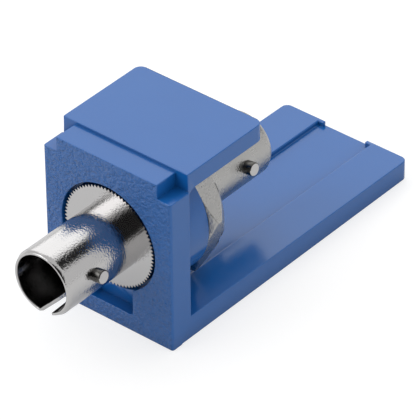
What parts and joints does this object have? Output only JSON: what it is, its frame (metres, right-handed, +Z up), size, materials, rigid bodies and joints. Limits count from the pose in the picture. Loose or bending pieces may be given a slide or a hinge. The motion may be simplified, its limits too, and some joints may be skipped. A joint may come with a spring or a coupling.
{
  "type": "st fibre adapter module",
  "caption": "Snap-in moulded module for a patch panel that holds a bayonet fibre adapter with a barrel at the front and the rear, a knurled flange and a hexagon nut.",
  "frame": {"origin": "on the underside of the base, at the middle of the width and of the overall length", "axes": "+Y from the front barrel's mouth to the rear end of the base, +X to the right seen from the front, +Z up from the base to the roof"},
  "size_m": [0.0152, 0.0442, 0.0182],
  "materials": {
    "blue_plastic": "matte moulded",
    "bright_nickel": "bright nickel plated",
    "satin_nickel": "satin nickel plated",
    "zirconia": "polished white"
  },
  "bodies": {
    "root": {"housing": "blue_plastic", "front_shell": "bright_nickel", "rear_shell": "satin_nickel", "lug_pins": "bright_nickel", "alignment_sleeve": "zirconia", "hex_nut": "satin_nickel"}
  },
  "joints": []
}
